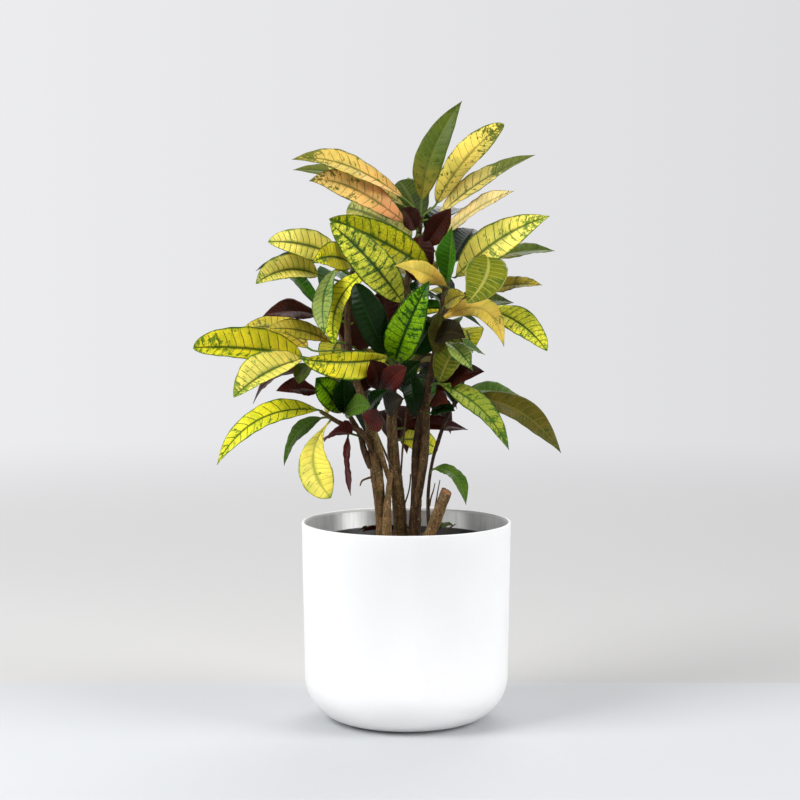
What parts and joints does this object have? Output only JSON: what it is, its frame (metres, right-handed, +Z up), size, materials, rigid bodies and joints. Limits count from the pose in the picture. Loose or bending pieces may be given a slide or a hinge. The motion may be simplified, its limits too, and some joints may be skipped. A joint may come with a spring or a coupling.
{
  "type": "potted croton",
  "caption": "Bushy croton house plant with woody canes and long arching yellow, green and maroon leaves, in a nursery pot inside a round white metal planter.",
  "frame": {"origin": "on the floor at the centre of the planter's flat underside, on the planter's axis", "axes": "+Z up along the planter's axis, +X to the right and -Y towards the viewer of the front view"},
  "size_m": [0.4865, 0.3694, 0.8273],
  "materials": {
    "planter_shell": "matt white powder coat outside, satin bare metal inside",
    "nursery_plastic": "matt black moulded plastic",
    "potting_soil": "loose crumbly dark potting soil",
    "foliage": "leathery waxy leaves, glossy, with green veins on yellow",
    "bark": "rough grey-brown bark with leaf scars"
  },
  "bodies": {
    "root": {"pot": "planter_shell", "nursery_pot": "nursery_plastic", "soil": "potting_soil", "cane_left": "foliage", "cane_middle": "foliage", "cane_right": "foliage", "cane_thin": "foliage", "cut_stub": "bark"}
  },
  "joints": []
}
